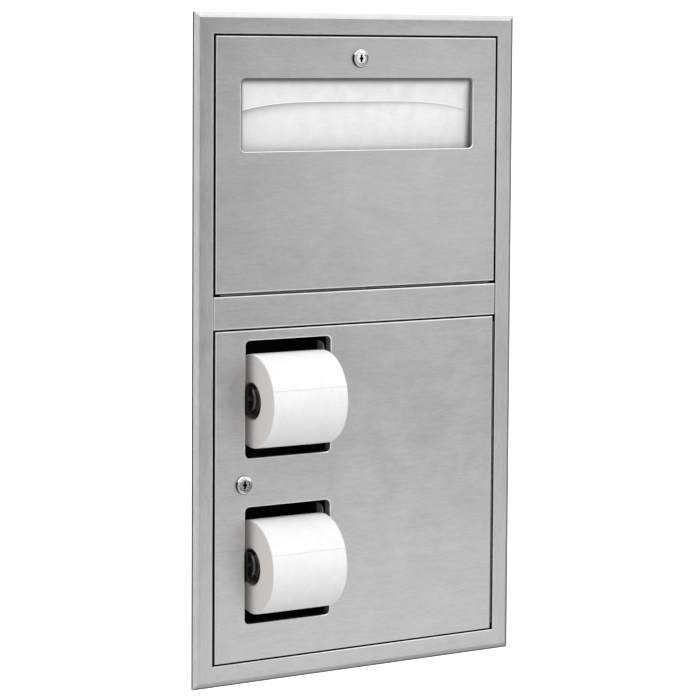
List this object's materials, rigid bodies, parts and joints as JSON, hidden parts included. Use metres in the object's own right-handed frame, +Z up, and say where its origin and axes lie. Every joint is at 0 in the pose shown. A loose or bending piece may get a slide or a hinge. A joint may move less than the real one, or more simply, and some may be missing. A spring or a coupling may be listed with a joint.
{
  "type": "recessed seat cover and toilet paper dispenser",
  "caption": "Recessed stainless washroom cabinet: a hinged upper door serves folded seat covers, a hinged lower door has windows for toilet rolls on black spindles, each door with a cam lock",
  "frame": {"origin": "centre of the cabinet's rear face, on its outer side", "axes": "+X to the right as seen by the user, +Y into the wall, +Z up; the doors face -Y"},
  "size_m": [0.4366, 0.1561, 0.7764],
  "materials": {
    "satin_stainless": "satin brushed stainless steel",
    "plain_steel": "plain steel, dull",
    "chrome": "polished chrome plate",
    "black_paint": "black paint, satin",
    "black_plastic": "glossy black plastic",
    "white_paper": "white tissue paper",
    "grey_board": "grey-brown rolled board"
  },
  "bodies": {
    "cabinet": {"flange_frame": "satin_stainless", "cabinet_back": "satin_stainless", "cabinet_left_wall": "satin_stainless", "cabinet_right_wall": "satin_stainless", "cabinet_top_wall": "satin_stainless", "cabinet_bottom_wall": "satin_stainless", "centre_rail": "satin_stainless", "compartment_shelf": "satin_stainless", "upper_strike": "plain_steel", "lower_strike": "plain_steel", "upper_hinge_fixed_leaf": "plain_steel", "lower_hinge_fixed_leaf": "plain_steel", "upper_hinge_pin": "plain_steel", "lower_hinge_pin": "plain_steel", "roll_housing": "black_paint", "upper_left_arm": "plain_steel", "upper_right_arm": "plain_steel", "lower_left_arm": "plain_steel", "lower_right_arm": "plain_steel", "seat_cover_pack": "white_paper", "front_seat_cover": "white_paper"},
    "upper_door": {"upper_door_panel": "satin_stainless", "upper_hinge_moving_leaf": "plain_steel", "upper_lock_body": "chrome", "upper_lock_nut": "plain_steel"},
    "upper_lock": {"upper_lock_plug": "chrome", "upper_lock_cam": "plain_steel", "upper_lock_screw": "plain_steel"},
    "upper_spindle": {"upper_spindle": "black_plastic"},
    "upper_roll": {"upper_roll_core": "grey_board", "upper_roll_paper": "white_paper"},
    "lower_door": {"lower_door_panel": "satin_stainless", "lower_hinge_moving_leaf": "plain_steel", "lower_lock_body": "chrome", "lower_lock_nut": "plain_steel"},
    "lower_lock": {"lower_lock_plug": "chrome", "lower_lock_cam": "plain_steel", "lower_lock_screw": "plain_steel"},
    "lower_spindle": {"lower_spindle": "black_plastic"},
    "lower_roll": {"lower_roll_core": "grey_board", "lower_roll_paper": "white_paper"}
  },
  "joints": [
    {"name": "upper_door_hinge", "type": "hinge", "parent": "cabinet", "child": "upper_door", "pos_m": [0, -0.105, 0.06512], "axis": [1, 0, 0], "range_deg": [0, 100]},
    {"name": "upper_lock_turn", "type": "hinge", "parent": "upper_door", "child": "upper_lock", "pos_m": [0, -0.1072, 0.33565], "axis": [0, -1, 0], "range_deg": [0, 90]},
    {"name": "upper_spindle_lift", "type": "slide", "parent": "cabinet", "child": "upper_spindle", "axis": [0, 0, 1], "range_m": [0, 0.01]},
    {"name": "upper_roll_spin", "type": "hinge", "parent": "upper_spindle", "child": "upper_roll", "pos_m": [-0.0915, -0.1012, -0.05988], "axis": [1, 0, 0], "continuous": true},
    {"name": "lower_door_hinge", "type": "hinge", "parent": "cabinet", "child": "lower_door", "pos_m": [0.1924, -0.105, -0.16896], "axis": [0, 0, 1], "range_deg": [0, 100]},
    {"name": "lower_lock_turn", "type": "hinge", "parent": "lower_door", "child": "lower_lock", "pos_m": [-0.1533, -0.1072, -0.15539], "axis": [0, -1, 0], "range_deg": [0, 90]},
    {"name": "lower_spindle_lift", "type": "slide", "parent": "cabinet", "child": "lower_spindle", "axis": [0, 0, 1], "range_m": [0, 0.01]},
    {"name": "lower_roll_spin", "type": "hinge", "parent": "lower_spindle", "child": "lower_roll", "pos_m": [-0.0915, -0.1012, -0.25329], "axis": [1, 0, 0], "continuous": true}
  ]
}
